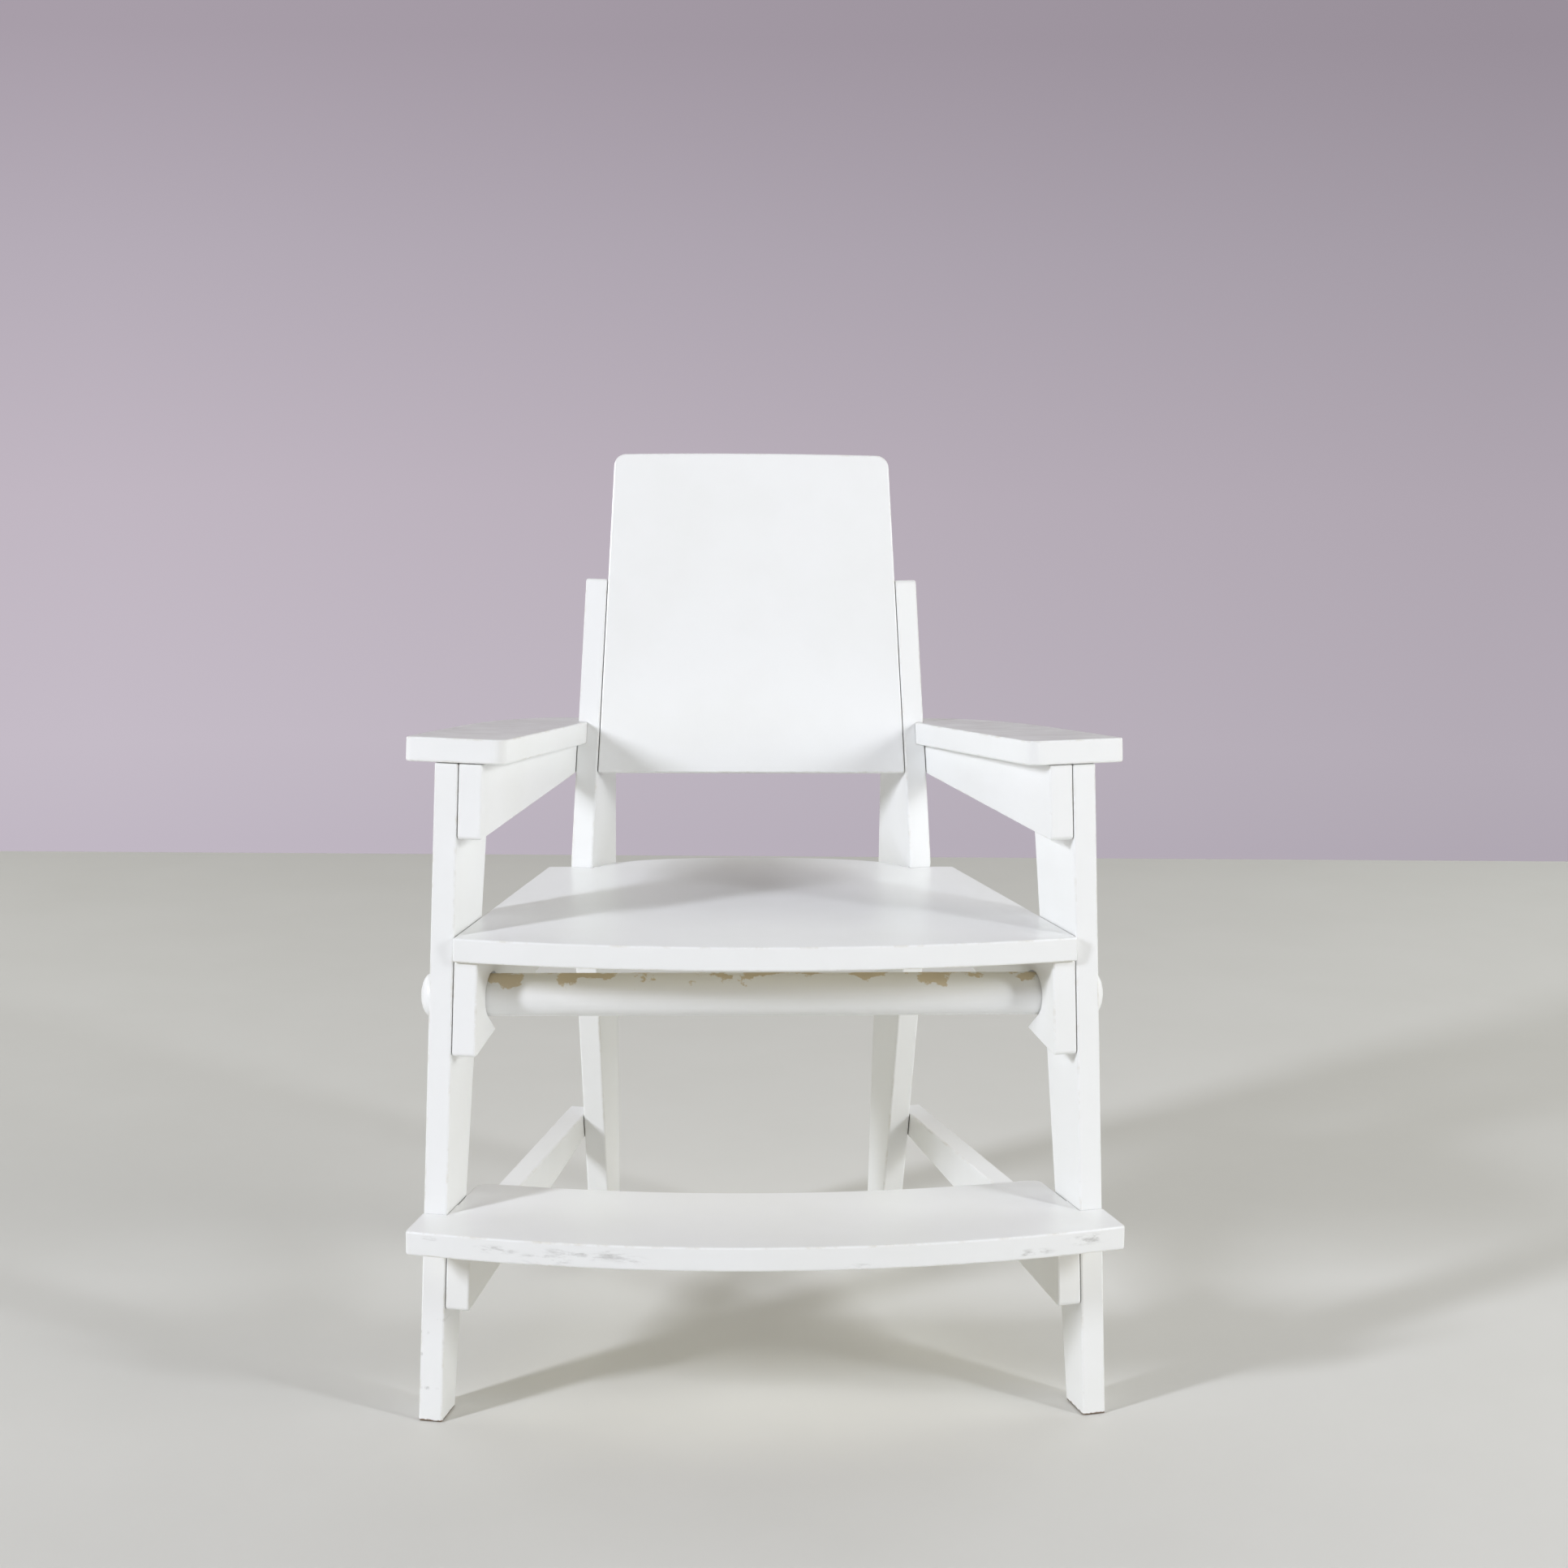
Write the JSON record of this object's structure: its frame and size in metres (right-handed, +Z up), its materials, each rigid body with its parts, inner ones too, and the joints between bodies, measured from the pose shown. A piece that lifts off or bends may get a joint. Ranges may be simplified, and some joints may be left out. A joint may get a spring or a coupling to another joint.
{
  "type": "kids chair",
  "caption": "White painted board chair for a child, with side frames that turn in towards the back, flat arms, a sloping back panel, a bowed foot board and a round cross bar.",
  "frame": {"origin": "on the floor, at the centre of the chair's width and depth", "axes": "+Z up, +X to the chair's right side as seen from the front, +Y towards the chair's back; the sitter faces -Y"},
  "size_m": [0.5266, 0.4442, 0.6907],
  "materials": {
    "painted_board": "satin white paint on board",
    "painted_bar": "satin white paint on a round bar",
    "bare_pin": "bare beech"
  },
  "bodies": {
    "root": {"front_leg_left": "painted_board", "front_leg_right": "painted_board", "rear_leg_left": "painted_board", "rear_leg_right": "painted_board", "arm_rail_left": "painted_board", "arm_rail_right": "painted_board", "seat_rail_left": "painted_board", "seat_rail_right": "painted_board", "foot_rail_left": "painted_board", "foot_rail_right": "painted_board", "arm_board_left": "painted_board", "arm_board_right": "painted_board", "seat_board": "painted_board", "foot_board": "painted_board", "back_panel": "painted_board", "cross_bar": "painted_bar", "arm_rail_pin_1_left": "bare_pin", "arm_rail_pin_1_right": "bare_pin", "arm_rail_pin_2_left": "bare_pin", "arm_rail_pin_2_right": "bare_pin", "arm_rail_pin_3_left": "bare_pin", "arm_rail_pin_3_right": "bare_pin", "seat_rail_pin_1_left": "bare_pin", "seat_rail_pin_1_right": "bare_pin", "seat_rail_pin_2_left": "bare_pin", "seat_rail_pin_2_right": "bare_pin", "seat_rail_pin_3_left": "bare_pin", "seat_rail_pin_3_right": "bare_pin", "foot_rail_pin_1_left": "bare_pin", "foot_rail_pin_1_right": "bare_pin", "foot_rail_pin_2_left": "bare_pin", "foot_rail_pin_2_right": "bare_pin", "foot_rail_pin_3_left": "bare_pin", "foot_rail_pin_3_right": "bare_pin", "arm_board_pin_1_left": "bare_pin", "arm_board_pin_1_right": "bare_pin", "arm_board_pin_2_left": "bare_pin", "arm_board_pin_2_right": "bare_pin", "seat_board_pin_1_left": "bare_pin", "seat_board_pin_1_right": "bare_pin", "seat_board_pin_2_left": "bare_pin", "seat_board_pin_2_right": "bare_pin", "foot_board_pin_1_left": "bare_pin", "foot_board_pin_1_right": "bare_pin", "foot_board_pin_2_left": "bare_pin", "foot_board_pin_2_right": "bare_pin", "back_panel_pin_1_left": "bare_pin", "back_panel_pin_1_right": "bare_pin", "back_panel_pin_2_left": "bare_pin", "back_panel_pin_2_right": "bare_pin"}
  },
  "joints": []
}
